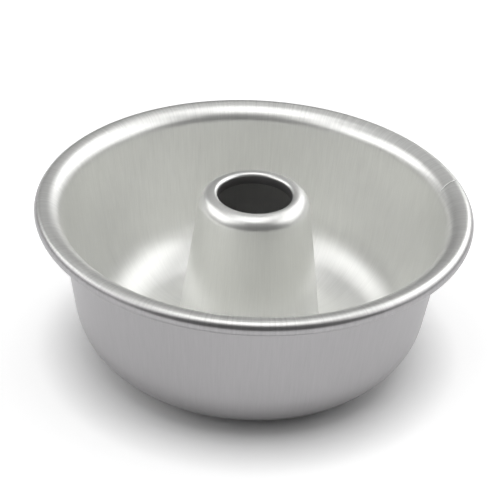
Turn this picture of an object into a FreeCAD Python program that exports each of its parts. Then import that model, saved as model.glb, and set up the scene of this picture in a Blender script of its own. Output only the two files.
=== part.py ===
"""Tube cake pan of satin aluminium sheet: a bowl with a rolled rim and a conical centre tube.

Millimetres, +Z up. The origin is the centre of the flat floor that the pan stands on.
Each piece is one sheet. It is drawn edge-on in the r-z plane, as a strip of one thickness that is
followed along its middle line through runs and bends, and is then spun about the pan's axis.
The floor's hole is hemmed over the flange of the tube's foot, inside the hollow of the tube.
"""

import FreeCAD
import Part
import math
import os

# Sheet and seam
SHEET = 1.0  # thickness of the aluminium sheet
SEAM_GAP = 0.05  # clearance between the layers that are folded together

# Bowl
MOUTH_RADIUS = 74.5  # inside of the wall, level with the centre of the bend into the rim
PAN_HEIGHT = 67.3  # table to the top of the rim
FLOOR_RADIUS = 42.6  # outer edge of the flat floor
KNUCKLE_RADIUS = 27.5  # outside of the bend from the floor to the wall
HEM_MARGIN = 1.0  # space left between the hem's edge and the bend of the tube's foot

# Rim
RIM_REACH = 10.9  # from the mouth to the outside of the rim
RIM_BEND_RADIUS = 7.7  # top of the bend from the wall to the rim
RIM_CROWN_RADIUS = 10.0  # top of the gently curved middle of the rim
RIM_CURL_RADIUS = 2.9  # outside of the curl at the rim's edge
RIM_TUCK_DEG = 60.0  # how far the curl is turned under, past straight down

# Centre tube
TUBE_HEIGHT = 71.1  # table to the top of the tube
TUBE_HOLE_RADIUS = 14.6  # opening at the top
TUBE_LIP_RADIUS = 1.5  # top of the bend from the shoulder into the opening
TUBE_LIP_DEPTH = 3.0  # straight wall of the opening
TUBE_CREST_RADIUS = 4.6  # outside of the tight bend at the top of the shoulder
TUBE_CREST_DEG = 50.0  # how far that bend turns down from level
TUBE_SHOULDER_RADIUS = 12.0  # outside of the easier bend from there to the cone
TUBE_FOOT_RADIUS = 29.6  # outside of the cone where it turns in to its foot
TUBE_FOOT_BEND_RADIUS = 2.0  # outside of that bend
TUBE_FLANGE_WIDTH = 4.0  # flat of the foot that lies on the floor, under the hem

QUARTER_TURN = math.pi / 2
HALF_TURN = math.pi
FULL_TURN_DEG = 360.0

# Heights of the three layers of the seam, from the floor up, and the centre of the fold round the flange
FLOOR_LEVEL = SHEET / 2
FLANGE_LEVEL = FLOOR_LEVEL + SHEET + SEAM_GAP
HEM_LEVEL = FLANGE_LEVEL + SHEET + SEAM_GAP
FOLD_RADIUS = SHEET + SEAM_GAP
SEAM_RADIUS = TUBE_FOOT_RADIUS - TUBE_FOOT_BEND_RADIUS - TUBE_FLANGE_WIDTH


class Strip:
    """A strip of sheet seen edge-on, followed along its middle line from one edge to the other."""

    def __init__(self, r, z, heading):
        self.r = r
        self.z = z
        self.heading = heading
        self.sides = {1: [], -1: []}
        self.start_edge = self.cut_edge()

    def beside(self, side, heading, r, z):
        """The point on the left (1) or right (-1) face of the sheet beside a middle-line point."""
        away = side * SHEET / 2
        return FreeCAD.Vector(r - away * math.sin(heading), 0, z + away * math.cos(heading))

    def cut_edge(self):
        """The square-cut edge of the sheet at the strip's present end."""
        left = self.beside(1, self.heading, self.r, self.z)
        right = self.beside(-1, self.heading, self.r, self.z)
        return Part.makeLine(left, right)

    def run(self, length):
        """A straight stretch."""
        r = self.r + length * math.cos(self.heading)
        z = self.z + length * math.sin(self.heading)
        for side, edges in self.sides.items():
            start = self.beside(side, self.heading, self.r, self.z)
            end = self.beside(side, self.heading, r, z)
            edges.append(Part.makeLine(start, end))
        self.r = r
        self.z = z

    def bend(self, radius, turn):
        """A bend with its middle line at this radius, to the left where turn is positive."""
        hand = math.copysign(1, turn)
        centre_r = self.r - hand * radius * math.sin(self.heading)
        centre_z = self.z + hand * radius * math.cos(self.heading)
        stops = []
        for turn_share in (0, 1 / 2, 1):
            heading = self.heading + turn_share * turn
            r = centre_r + hand * radius * math.sin(heading)
            z = centre_z - hand * radius * math.cos(heading)
            stops.append((heading, r, z))
        for side, edges in self.sides.items():
            edges.append(Part.Arc(*[self.beside(side, *stop) for stop in stops]).toShape())
        self.heading, self.r, self.z = stops[-1]

    def spin(self):
        """The solid that the strip makes when it is turned about the pan's axis."""
        outline = self.sides[1] + [self.cut_edge()] + self.sides[-1][::-1] + [self.start_edge]
        face = Part.Face(Part.Wire(outline))
        return face.revolve(FreeCAD.Vector(0, 0, 0), FreeCAD.Vector(0, 0, 1), FULL_TURN_DEG)


def tangent_run(r_from, z_from, r_to, z_to, offset):
    """Heading and length of the straight middle line between two bends.

    The points are the centres of the bends. The first centre lies further to the left of the line
    than the second one does, by offset.
    """
    across = r_to - r_from
    rise = z_to - z_from
    apart = math.hypot(across, rise)
    heading = math.atan2(rise, across) + math.asin(offset / apart)
    return heading, math.sqrt(apart**2 - offset**2)


def pan_bowl():
    """Hem and floor, knuckle and wall, with the edge rolled outwards and under as a hollow rim."""
    knuckle = KNUCKLE_RADIUS - SHEET / 2
    rim_bend = RIM_BEND_RADIUS - SHEET / 2
    crown = RIM_CROWN_RADIUS - SHEET / 2
    curl = RIM_CURL_RADIUS - SHEET / 2

    rim_flat = RIM_REACH - RIM_BEND_RADIUS - RIM_CURL_RADIUS
    crown_tilt = math.asin(rim_flat / (2 * RIM_CROWN_RADIUS - RIM_BEND_RADIUS - RIM_CURL_RADIUS))
    crown_drop = RIM_CROWN_RADIUS - (RIM_CROWN_RADIUS - RIM_BEND_RADIUS) * math.cos(crown_tilt)
    rim_bend_r = MOUTH_RADIUS + RIM_BEND_RADIUS
    rim_bend_z = PAN_HEIGHT - crown_drop
    wall_heading, wall_length = tangent_run(
        FLOOR_RADIUS, KNUCKLE_RADIUS, rim_bend_r, rim_bend_z, knuckle + rim_bend
    )

    hem_width = TUBE_FLANGE_WIDTH - HEM_MARGIN
    strip = Strip(SEAM_RADIUS + hem_width, HEM_LEVEL, HALF_TURN)
    strip.run(hem_width)
    strip.bend(FOLD_RADIUS, HALF_TURN)
    strip.run(FLOOR_RADIUS - SEAM_RADIUS)
    strip.bend(knuckle, wall_heading)
    strip.run(wall_length)
    strip.bend(rim_bend, crown_tilt - wall_heading)
    strip.bend(crown, -2 * crown_tilt)
    strip.bend(curl, crown_tilt - QUARTER_TURN - math.radians(RIM_TUCK_DEG))
    return strip.spin()


def centre_tube():
    """Turned-in lip, shoulder and cone, with a foot that turns in to a flat flange on the floor."""
    lip = TUBE_LIP_RADIUS - SHEET / 2
    crest = TUBE_CREST_RADIUS - SHEET / 2
    shoulder = TUBE_SHOULDER_RADIUS - SHEET / 2
    foot_bend = TUBE_FOOT_BEND_RADIUS - SHEET / 2

    crest_turn = math.radians(TUBE_CREST_DEG)
    easing = TUBE_SHOULDER_RADIUS - TUBE_CREST_RADIUS
    shoulder_r = TUBE_HOLE_RADIUS + TUBE_LIP_RADIUS - easing * math.sin(crest_turn)
    shoulder_z = TUBE_HEIGHT - TUBE_CREST_RADIUS - easing * math.cos(crest_turn)
    foot_bend_r = TUBE_FOOT_RADIUS - TUBE_FOOT_BEND_RADIUS
    foot_bend_z = FLANGE_LEVEL + foot_bend
    cone_heading, cone_length = tangent_run(
        shoulder_r, shoulder_z, foot_bend_r, foot_bend_z, foot_bend - shoulder
    )

    lip_end = TUBE_HEIGHT - TUBE_LIP_RADIUS - TUBE_LIP_DEPTH
    strip = Strip(TUBE_HOLE_RADIUS + SHEET / 2, lip_end, QUARTER_TURN)
    strip.run(TUBE_LIP_DEPTH)
    strip.bend(lip, -QUARTER_TURN)
    strip.bend(crest, -crest_turn)
    strip.bend(shoulder, cone_heading + crest_turn)
    strip.run(cone_length)
    strip.bend(foot_bend, -HALF_TURN - cone_heading)
    strip.run(TUBE_FLANGE_WIDTH)
    return strip.spin()


def main():
    os.makedirs("parts", exist_ok=True)
    pieces = {"pan_bowl": pan_bowl(), "centre_tube": centre_tube()}
    for name, shape in pieces.items():
        shape.exportStep(f"parts/{name}.step")
        print(f"{name}: valid {shape.isValid()}, {len(shape.Solids)} solid, {shape.Volume:.1f} mm3")


main()
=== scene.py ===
"""Looks of a satin aluminium tube cake pan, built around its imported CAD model.

Metres, +Z up, in the same frame as the CAD model. Both sheets are spun again here, with finer steps
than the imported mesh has, so that the curved metal reflects smoothly. They have the CAD model's sizes,
apart from a slightly tighter bend under the tube's crest.
"""

import bmesh
import bpy
import math
from mathutils import Matrix, Vector


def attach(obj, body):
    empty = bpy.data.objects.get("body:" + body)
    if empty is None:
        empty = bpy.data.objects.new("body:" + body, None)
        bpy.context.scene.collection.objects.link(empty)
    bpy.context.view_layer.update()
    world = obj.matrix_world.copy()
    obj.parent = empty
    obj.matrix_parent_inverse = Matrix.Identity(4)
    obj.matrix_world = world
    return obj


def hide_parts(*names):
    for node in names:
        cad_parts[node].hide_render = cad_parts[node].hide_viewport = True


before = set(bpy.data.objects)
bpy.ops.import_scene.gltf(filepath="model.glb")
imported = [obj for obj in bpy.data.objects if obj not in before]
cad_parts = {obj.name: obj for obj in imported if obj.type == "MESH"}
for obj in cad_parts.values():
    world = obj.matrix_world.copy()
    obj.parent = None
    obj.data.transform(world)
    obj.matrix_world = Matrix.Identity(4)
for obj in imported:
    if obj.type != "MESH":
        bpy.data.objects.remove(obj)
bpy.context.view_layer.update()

MM = 0.001
QUARTER_TURN = math.pi / 2
HALF_TURN = math.pi
FULL_TURN = 2 * math.pi
WHITE = (1, 1, 1)

# Sizes of the CAD model, apart from the two that say what the solid has
SHEET = 1.0 * MM
SEAM_GAP = 0.05 * MM
MOUTH_RADIUS = 74.5 * MM
PAN_HEIGHT = 67.3 * MM
FLOOR_RADIUS = 42.6 * MM
KNUCKLE_RADIUS = 27.5 * MM
HEM_MARGIN = 1.0 * MM
RIM_REACH = 10.9 * MM
RIM_BEND_RADIUS = 7.7 * MM
RIM_CROWN_RADIUS = 10.0 * MM
RIM_CURL_RADIUS = 2.9 * MM
RIM_TUCK = math.radians(60)
TUBE_HEIGHT = 71.1 * MM
TUBE_HOLE_RADIUS = 14.6 * MM
TUBE_LIP_RADIUS = 1.5 * MM
TUBE_LIP_DEPTH = 3.0 * MM
TUBE_CREST_RADIUS = 5.2 * MM  # 4.6 in the solid
TUBE_CREST_TURN = math.radians(50)
TUBE_SHOULDER_RADIUS = 7.5 * MM  # 12.0 in the solid
TUBE_FOOT_RADIUS = 29.6 * MM
TUBE_FOOT_BEND_RADIUS = 2.0 * MM
TUBE_FLANGE_WIDTH = 4.0 * MM

# Heights of the three layers of the seam, from the floor up, and the fold round the tube's flange
FLOOR_LEVEL = SHEET / 2
FLANGE_LEVEL = FLOOR_LEVEL + SHEET + SEAM_GAP
HEM_LEVEL = FLANGE_LEVEL + SHEET + SEAM_GAP
FOLD_RADIUS = SHEET + SEAM_GAP
SEAM_RADIUS = TUBE_FOOT_RADIUS - TUBE_FOOT_BEND_RADIUS - TUBE_FLANGE_WIDTH

# How finely the sheets are spun and their bends and straight runs are divided
SPIN_STEPS = 330
BEND_STEP = math.radians(7)
FEWEST_BEND_STEPS = 2
RUN_STEP = 4.0 * MM

# Metal: bright inside the pan and on top of the rim; painted shade gives the bowl's outer face, the
# rim's curl and the tube's lip and hollow a much darker tint, for the dim surroundings that they mirror
INSIDE_TINT = (0.92, 0.923, 0.90)
OUTSIDE_PAINTED_SHADE_TINT = (0.40, 0.392, 0.40)
METALLIC = 0.82  # the rest is what the anodised skin scatters
ROUGHNESS = 0.37
ANISOTROPY = 0.3

# Headings of the sheet where the painted shade starts at the rim's edge, darkening its curl, and ends in
# the tube's lip, darkening the lip's wall in the opening
RIM_PAINTED_SHADE_STARTS = math.radians(-27)
LIP_PAINTED_SHADE_ENDS = math.radians(85)
PAINTED_SHADE_BLEND = math.radians(25)  # turn that each change takes

# Shares of painted shade, the darker tint, on the bowl's outer face and in the tube's hollow
BOWL_OUTSIDE_SHADE_SHARE = 1
TUBE_HOLLOW_SHADE_SHARE = 0.4

# Drawing lines, which run up the walls and across the rim, brush marks on the rim, and faint clouds
HAIRLINES_PER_RADIAN = 190
STREAKS_PER_RADIAN = 42
BRUSH_MARKS_PER_RADIAN = 90
BRUSH_MARKS_FADE = 2.0 * MM
LINE_DRIFT_PER_METRE = 90
CLOUDS_PER_METRE = 30
STREAK_DEPTH = 0.003 * MM
TINT_SHARES = {"hairlines": 0.040, "streaks": 0.018, "brush_marks": 0.08, "clouds": 0.020}
ROUGHNESS_SHARES = {"hairlines": 0.008, "streaks": 0.008, "clouds": 0.010}
NOISE_DETAIL = 2
NOISE_STRETCH = 2  # noise keeps to the middle of its range, so the range is stretched this far each way
HEIGHT_UNIT = 1.0  # heights for the bump are in metres

# One scratch across the rim, from and to, seen from above
SCRATCH_FROM = Vector((74.0 * MM, 19.6 * MM, 0))
SCRATCH_TO = Vector((79.6 * MM, 23.7 * MM, 0))
SCRATCH_HALF_WIDTH = 0.4 * MM
SCRATCH_DEPTH = 0.30 * MM
SCRATCH_TINT_SHARE = -0.35

# Numbers of the sockets that a mix node has for colours
MIX_FACTOR_SOCKET = 0
MIX_FIRST_SOCKET = 6
MIX_SECOND_SOCKET = 7
MIX_RESULT_SOCKET = 2

# Floor, and the glow round the pan that makes it look white
FLOOR_SIZE = 60.0
FLOOR_DROP = 0.1 * MM
FLOOR_COLOUR = (0.85, 0.85, 0.85)
FLOOR_GLOW = 0.46

# Distances from the pan's axis over which that glow rises, leaving a ring of painted shadow round the
# pan's foot, which the foot also mirrors, and then goes on to one as the lamps fade
SHADE_RING_GLOW_RISE = (60.0 * MM, 86.0 * MM)
FAR_GLOW_RISE = (0.6, 2.4)

# Dark card in front of the pan
CARD_WIDTH = 0.9
CARD_HEIGHT = 0.36
CARD_DISTANCE = 0.36
CARD_COLOUR = (0.02, 0.02, 0.02)

# Lamps: bearing and elevation in degrees (0 right, 90 behind), distance, width and height, radiance
SOFTBOXES = {
    "right_high": (20, 46, 1.2, (2.0, 0.5), 1.75),
    "right_low": (25, 24, 1.2, (2.0, 0.5), 1.35),
    "left_high": (200, 45, 1.2, (1.5, 0.5), 1.1),
    "left_low": (195, 26, 1.2, (1.8, 0.5), 1.55),
    "left_back": (150, 34, 1.2, (0.4, 0.5), 1.3),
    "overhead": (270, 88, 1.2, (0.9, 0.9), 1.40),
    "front": (255, 66, 1.25, (1.2, 0.45), 0.9),
    "back": (90, 48, 1.25, (1.3, 0.6), 0.3),
}

# Dim room round the stage, in front and behind, and how far each way the change between them reaches
WORLD_FRONT = 0.03
WORLD_BACK = 0.08
WORLD_BLEND = 0.6

# Camera
CAMERA_DISTANCE = 0.770
CAMERA_ELEVATION = math.radians(30.92)
CAMERA_ROLL = math.radians(2.82)
CAMERA_AIM = (-0.86 * MM, -9.98 * MM, 51.0 * MM)
CAMERA_LENS = 142.55


class Strip:
    """A strip of sheet seen edge-on, followed along its middle line from one edge to the other."""

    def __init__(self, r, z, heading):
        self.stops = [(r, z, heading)]

    def run(self, length):
        """A straight stretch."""
        r, z, heading = self.stops[-1]
        count = max(1, round(length / RUN_STEP))
        for i in range(1, count + 1):
            done = length * i / count
            self.stops.append((r + done * math.cos(heading), z + done * math.sin(heading), heading))

    def bend(self, radius, turn):
        """A bend with its middle line at this radius, to the left where turn is positive."""
        r, z, heading = self.stops[-1]
        hand = math.copysign(1, turn)
        centre_r = r - hand * radius * math.sin(heading)
        centre_z = z + hand * radius * math.cos(heading)
        count = max(FEWEST_BEND_STEPS, round(abs(turn) / BEND_STEP))
        for i in range(1, count + 1):
            way = heading + turn * i / count
            stop_r = centre_r + hand * radius * math.sin(way)
            stop_z = centre_z - hand * radius * math.cos(way)
            self.stops.append((stop_r, stop_z, way))

    def side(self, hand):
        """Points along the left (1) or right (-1) face of the sheet."""
        away = hand * SHEET / 2
        return [(r - away * math.sin(way), z + away * math.cos(way)) for r, z, way in self.stops]


def tangent_run(r_from, z_from, r_to, z_to, offset):
    """Heading and length of the straight middle line between two bends, from their centres.

    The first centre lies further to the left of the line than the second one does, by offset.
    """
    apart = math.hypot(r_to - r_from, z_to - z_from)
    heading = math.atan2(z_to - z_from, r_to - r_from) + math.asin(offset / apart)
    return heading, math.sqrt(apart**2 - offset**2)


def bowl_strip():
    """Hem, floor, knuckle, wall and rolled rim."""
    knuckle = KNUCKLE_RADIUS - SHEET / 2
    rim_bend = RIM_BEND_RADIUS - SHEET / 2
    crown = RIM_CROWN_RADIUS - SHEET / 2
    curl = RIM_CURL_RADIUS - SHEET / 2

    rim_flat = RIM_REACH - RIM_BEND_RADIUS - RIM_CURL_RADIUS
    crown_tilt = math.asin(rim_flat / (2 * RIM_CROWN_RADIUS - RIM_BEND_RADIUS - RIM_CURL_RADIUS))
    crown_drop = RIM_CROWN_RADIUS - (RIM_CROWN_RADIUS - RIM_BEND_RADIUS) * math.cos(crown_tilt)
    rim_bend_r = MOUTH_RADIUS + RIM_BEND_RADIUS
    rim_bend_z = PAN_HEIGHT - crown_drop
    wall_heading, wall_length = tangent_run(
        FLOOR_RADIUS, KNUCKLE_RADIUS, rim_bend_r, rim_bend_z, knuckle + rim_bend
    )

    hem_width = TUBE_FLANGE_WIDTH - HEM_MARGIN
    strip = Strip(SEAM_RADIUS + hem_width, HEM_LEVEL, -HALF_TURN)
    strip.run(hem_width)
    strip.bend(FOLD_RADIUS, HALF_TURN)
    strip.run(FLOOR_RADIUS - SEAM_RADIUS)
    strip.bend(knuckle, wall_heading)
    strip.run(wall_length)
    strip.bend(rim_bend, crown_tilt - wall_heading)
    strip.bend(crown, -2 * crown_tilt)
    strip.bend(curl, crown_tilt - QUARTER_TURN - RIM_TUCK)
    return strip


def tube_strip():
    """Lip, shoulder, cone and foot flange."""
    lip = TUBE_LIP_RADIUS - SHEET / 2
    crest = TUBE_CREST_RADIUS - SHEET / 2
    shoulder = TUBE_SHOULDER_RADIUS - SHEET / 2
    foot_bend = TUBE_FOOT_BEND_RADIUS - SHEET / 2

    easing = TUBE_SHOULDER_RADIUS - TUBE_CREST_RADIUS
    shoulder_r = TUBE_HOLE_RADIUS + TUBE_LIP_RADIUS - easing * math.sin(TUBE_CREST_TURN)
    shoulder_z = TUBE_HEIGHT - TUBE_CREST_RADIUS - easing * math.cos(TUBE_CREST_TURN)
    foot_bend_r = TUBE_FOOT_RADIUS - TUBE_FOOT_BEND_RADIUS
    foot_bend_z = FLANGE_LEVEL + foot_bend
    cone_heading, cone_length = tangent_run(
        shoulder_r, shoulder_z, foot_bend_r, foot_bend_z, foot_bend - shoulder
    )

    lip_end = TUBE_HEIGHT - TUBE_LIP_RADIUS - TUBE_LIP_DEPTH
    strip = Strip(TUBE_HOLE_RADIUS + SHEET / 2, lip_end, QUARTER_TURN)
    strip.run(TUBE_LIP_DEPTH)
    strip.bend(lip, -QUARTER_TURN)
    strip.bend(crest, -TUBE_CREST_TURN)
    strip.bend(shoulder, cone_heading + TUBE_CREST_TURN)
    strip.run(cone_length)
    strip.bend(foot_bend, -HALF_TURN - cone_heading)
    strip.run(TUBE_FLANGE_WIDTH)
    return strip


def bowl_painted_shade(heading):
    """Share of painted shade, the darker tint, on the bowl's upper face: none until the rim's edge turns
    down.
    """
    return min(1, max(0, (RIM_PAINTED_SHADE_STARTS - heading) / PAINTED_SHADE_BLEND))


def tube_painted_shade(heading):
    """Share of painted shade, the darker tint, on the tube's upper face: only down the lip, in the
    opening.
    """
    return min(1, max(0, 1 - (LIP_PAINTED_SHADE_ENDS - heading) / PAINTED_SHADE_BLEND))


def spin(name, strip, painted_shade_of, under_shade_share):
    """A closed mesh of the strip turned about the pan's axis, with its share of painted shade on it."""
    left = strip.side(1)
    section = left + strip.side(-1)[::-1]
    shares = [painted_shade_of(heading) for r, z, heading in strip.stops] + [under_shade_share] * len(left)
    cut_edges = (len(left) - 1, len(section) - 1)
    mesh = bmesh.new()
    rings = []
    for step in range(SPIN_STEPS):
        angle = FULL_TURN * step / SPIN_STEPS
        rings.append([mesh.verts.new((r * math.cos(angle), r * math.sin(angle), z)) for r, z in section])
    for ring, following in zip(rings, rings[1:] + rings[:1]):
        for i in range(len(section)):
            j = (i + 1) % len(section)
            face = mesh.faces.new((ring[i], following[i], following[j], ring[j]))
            face.smooth = i not in cut_edges
    bmesh.ops.recalc_face_normals(mesh, faces=mesh.faces)
    data = bpy.data.meshes.new(name)
    mesh.to_mesh(data)
    mesh.free()
    data.attributes.new("painted_shade_share", "FLOAT", "POINT").data.foreach_set("value", shares * SPIN_STEPS)
    piece = bpy.data.objects.new(name, data)
    bpy.context.scene.collection.objects.link(piece)
    return piece


def connect(tree, made, inputs):
    """Sets a node's inputs to values, or links them from other nodes."""
    for name, value in inputs.items():
        if isinstance(value, bpy.types.NodeSocket):
            tree.links.new(value, made.inputs[name])
        else:
            made.inputs[name].default_value = value


def node(tree, kind, inputs, **settings):
    """A new node with its settings and inputs."""
    made = tree.nodes.new(kind)
    for name, value in settings.items():
        setattr(made, name, value)
    connect(tree, made, inputs)
    return made


def mix_colour(tree, share, first, second):
    """A colour between two, by the share of the second one."""
    inputs = {
        MIX_FACTOR_SOCKET: share,
        MIX_FIRST_SOCKET: (*first, 1),
        MIX_SECOND_SOCKET: (*second, 1),
    }
    return node(tree, "ShaderNodeMix", inputs, data_type="RGBA").outputs[MIX_RESULT_SOCKET]


def vector_math(tree, operation, *values, output="Vector", **inputs):
    """What a vector math node gives for its values."""
    made = node(tree, "ShaderNodeVectorMath", {**dict(enumerate(values)), **inputs}, operation=operation)
    return made.outputs[output]


def math_node(tree, operation, *values, **settings):
    """What a math node gives for its values."""
    made = node(tree, "ShaderNodeMath", dict(enumerate(values)), operation=operation, **settings)
    return made.outputs["Value"]


def remap(tree, value, low, high, to_low, to_high):
    """A value stretched from one range to another, and kept inside it."""
    inputs = {"Value": value, "From Min": low, "From Max": high, "To Min": to_low, "To Max": to_high}
    return node(tree, "ShaderNodeMapRange", inputs).outputs["Result"]


def from_above(tree, place):
    """The place without its height."""
    return vector_math(tree, "MULTIPLY", place, (1, 1, 0))


def noise(tree, where, scale):
    """Noise from about -1 to 1, and mostly near 0."""
    inputs = {"Vector": where, "Scale": scale, "Detail": NOISE_DETAIL}
    made = node(tree, "ShaderNodeTexNoise", inputs).outputs["Fac"]
    return remap(tree, made, 0, 1, -NOISE_STRETCH, NOISE_STRETCH)


def lines(tree, place, per_radian):
    """Noise drawn out into lines that run up the walls and across the rim."""
    bearing = vector_math(tree, "NORMALIZE", from_above(tree, place))
    drift = vector_math(tree, "MULTIPLY", place, (0, 0, LINE_DRIFT_PER_METRE / per_radian))
    return noise(tree, vector_math(tree, "ADD", bearing, drift), per_radian)


def brush_marks(tree, place):
    """Short lines across the rim, fading to nought at the pan's mouth."""
    away = vector_math(tree, "LENGTH", from_above(tree, place), output="Value")
    on_rim = remap(tree, away, MOUTH_RADIUS, MOUTH_RADIUS + BRUSH_MARKS_FADE, 0, 1)
    return math_node(tree, "MULTIPLY", lines(tree, place, BRUSH_MARKS_PER_RADIAN), on_rim)


def scratch(tree, place):
    """One along the middle of the rim's scratch, fading to nought at its sides."""
    length = (SCRATCH_TO - SCRATCH_FROM).length
    way = (SCRATCH_TO - SCRATCH_FROM).normalized()
    past_start = vector_math(tree, "SUBTRACT", from_above(tree, place), SCRATCH_FROM)
    along = vector_math(tree, "DOT_PRODUCT", past_start, way, output="Value")
    on_scratch = remap(tree, along, 0, length, 0, length)
    nearest = vector_math(tree, "SCALE", way, Scale=on_scratch)
    away = vector_math(tree, "DISTANCE", past_start, nearest, output="Value")
    return remap(tree, away, 0, SCRATCH_HALF_WIDTH, 1, 0)


def weigh(tree, start, amounts, shares):
    """A starting value plus its share of each amount."""
    total = start
    for name, share in shares.items():
        part = math_node(tree, "MULTIPLY", amounts[name], share)
        total = math_node(tree, "ADD", part, total)
    return total


def new_material(name):
    """A new material, with its nodes and its shader."""
    material = bpy.data.materials.new(name)
    material.use_nodes = True
    return material, material.node_tree, material.node_tree.nodes["Principled BSDF"]


def satin_aluminium(name):
    """Anodised aluminium with drawing lines, faint clouds, a sheen that spreads across the lines, and
    painted shade mixed in as a darker tint.
    """
    material, tree, shader = new_material(name)
    place = node(tree, "ShaderNodeTexCoord", {}).outputs["Object"]
    amounts = {
        "hairlines": lines(tree, place, HAIRLINES_PER_RADIAN),
        "streaks": lines(tree, place, STREAKS_PER_RADIAN),
        "brush_marks": brush_marks(tree, place),
        "clouds": noise(tree, place, CLOUDS_PER_METRE),
        "scratch": scratch(tree, place),
    }
    # Painted shade: the attribute's share mixes in the darker tint, standing in for dim surroundings
    # that the metal mirrors
    painted_shade_share = node(tree, "ShaderNodeAttribute", {}, attribute_name="painted_shade_share").outputs["Fac"]
    tint = mix_colour(tree, painted_shade_share, INSIDE_TINT, OUTSIDE_PAINTED_SHADE_TINT)
    shade = weigh(tree, 1, amounts, {**TINT_SHARES, "scratch": SCRATCH_TINT_SHARE})
    height = weigh(tree, 0, amounts, {"streaks": STREAK_DEPTH, "scratch": -SCRATCH_DEPTH})
    bump = node(tree, "ShaderNodeBump", {"Height": height, "Distance": HEIGHT_UNIT, "Strength": 1})
    tangent = node(tree, "ShaderNodeTangent", {}, direction_type="RADIAL", axis="Z")
    connect(tree, shader, {
        "Base Color": vector_math(tree, "SCALE", tint, Scale=shade),
        "Metallic": METALLIC,
        "Roughness": weigh(tree, ROUGHNESS, amounts, ROUGHNESS_SHARES),
        "Anisotropic": ANISOTROPY,
        "Normal": bump.outputs["Normal"],
        "Tangent": tangent.outputs["Tangent"],
    })
    return material


def dress():
    """Both sheets, each in place of its solid."""
    for name, part, slot, strip, painted_shade_of, under_shade_share in (
        ("bowl_shell", "pan_bowl", "bowl_aluminium", bowl_strip(), bowl_painted_shade, BOWL_OUTSIDE_SHADE_SHARE),
        ("tube_shell", "centre_tube", "tube_aluminium", tube_strip(), tube_painted_shade, TUBE_HOLLOW_SHADE_SHARE),
    ):
        piece = spin(name, strip, painted_shade_of, under_shade_share)
        piece.data.materials.append(satin_aluminium(slot))
        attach(piece, "root")
        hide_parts(part)


def background_rays(tree):
    """One for what is seen directly, mirrored in metal or through glass, and nought for light itself."""
    rays = node(tree, "ShaderNodeLightPath", {}).outputs
    seen = math_node(tree, "ADD", rays["Is Camera Ray"], rays["Is Glossy Ray"])
    return math_node(tree, "ADD", seen, rays["Is Transmission Ray"], use_clamp=True)


def floor_white():
    """Matt white that keeps shadows and looks white, as it glows round the pan, but not under it; where
    the glow rises past the foot it paints a ring of shadow.
    """
    material, tree, shader = new_material("floor_white")
    place = node(tree, "ShaderNodeTexCoord", {}).outputs["Object"]
    away = vector_math(tree, "LENGTH", place, output="Value")
    shade_ring_glow = remap(tree, away, *SHADE_RING_GLOW_RISE, 0, FLOOR_GLOW)
    far = remap(tree, away, *FAR_GLOW_RISE, 0, 1 - FLOOR_GLOW)
    glow = math_node(tree, "MULTIPLY", math_node(tree, "ADD", shade_ring_glow, far), background_rays(tree))
    connect(tree, shader, {
        "Base Color": (*FLOOR_COLOUR, 1),
        "Roughness": 1,
        "Specular IOR Level": 0,
        "Emission Color": (*WHITE, 1),
        "Emission Strength": glow,
    })
    return material


def card_black():
    """Matt black."""
    material, tree, shader = new_material("card_black")
    connect(tree, shader, {"Base Color": (*CARD_COLOUR, 1), "Roughness": 1})
    return material


def plane(name, material, **placing):
    """A square plane of one material."""
    bpy.ops.mesh.primitive_plane_add(**placing)
    made = bpy.context.object
    made.name = name
    made.data.materials.append(material)
    return made


def stage():
    """A floor, and a dark card that only the metal mirrors, for the dark line along its edges."""
    floor = plane("floor", floor_white(), size=FLOOR_SIZE, location=(0, 0, -FLOOR_DROP))
    middle = (0, -CARD_DISTANCE, CARD_HEIGHT / 2)
    upright = (QUARTER_TURN, 0, 0)
    card = plane("card", card_black(), size=CARD_WIDTH, location=middle, rotation=upright)
    card.scale.y = CARD_HEIGHT / CARD_WIDTH
    card.visible_camera = False
    card.visible_diffuse = False
    card.visible_shadow = False


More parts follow.
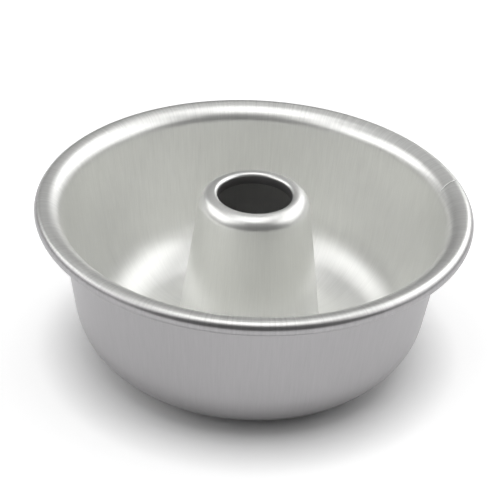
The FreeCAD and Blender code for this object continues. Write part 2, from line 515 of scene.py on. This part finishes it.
def softbox(name, bearing_deg, elevation_deg, distance, size, radiance):
    """A lamp that shines on the pan's middle from a bearing (0 right, 90 behind) and an elevation."""
    bearing = math.radians(bearing_deg)
    elevation = math.radians(elevation_deg)
    level = math.cos(elevation)
    way = Vector((level * math.cos(bearing), level * math.sin(bearing), math.sin(elevation)))
    data = bpy.data.lights.new(name, "AREA")
    data.shape = "RECTANGLE"
    data.size, data.size_y = size
    data.energy = radiance * math.pi * data.size * data.size_y
    lamp = bpy.data.objects.new(name, data)
    lamp.location = Vector((0, 0, PAN_HEIGHT / 2)) + distance * way
    lamp.rotation_euler = (-way).to_track_quat("-Z", "Y").to_euler()
    bpy.context.scene.collection.objects.link(lamp)


def studio_world():
    """A dim room that is a little lighter behind the pan."""
    world = bpy.data.worlds.new("studio")
    world.use_nodes = True
    tree = world.node_tree
    way = node(tree, "ShaderNodeTexCoord", {}).outputs["Generated"]
    behind = node(tree, "ShaderNodeSeparateXYZ", {"Vector": way}).outputs["Y"]
    dim = remap(tree, behind, -WORLD_BLEND, WORLD_BLEND, WORLD_FRONT, WORLD_BACK)
    connect(tree, tree.nodes["Background"], {"Color": (*WHITE, 1), "Strength": dim})
    return world


def light():
    """The dim room and the lamps in it."""
    bpy.context.scene.world = studio_world()
    for name, lamp in SOFTBOXES.items():
        softbox(name, *lamp)


def camera():
    """The main view, from the front and above."""
    data = bpy.data.cameras.new("camera")
    data.lens = CAMERA_LENS
    eye = bpy.data.objects.new("camera", data)
    back = Vector((0, -math.cos(CAMERA_ELEVATION), math.sin(CAMERA_ELEVATION)))
    eye.location = Vector((0, 0, PAN_HEIGHT)) + CAMERA_DISTANCE * back
    look = (Vector(CAMERA_AIM) - eye.location).to_track_quat("-Z", "Y")
    eye.rotation_mode = "QUATERNION"
    eye.rotation_quaternion = look @ Matrix.Rotation(CAMERA_ROLL, 3, "Z").to_quaternion()
    bpy.context.scene.collection.objects.link(eye)
    bpy.context.scene.camera = eye


dress()
stage()
light()
camera()
bpy.context.scene.view_settings.view_transform = "Standard"
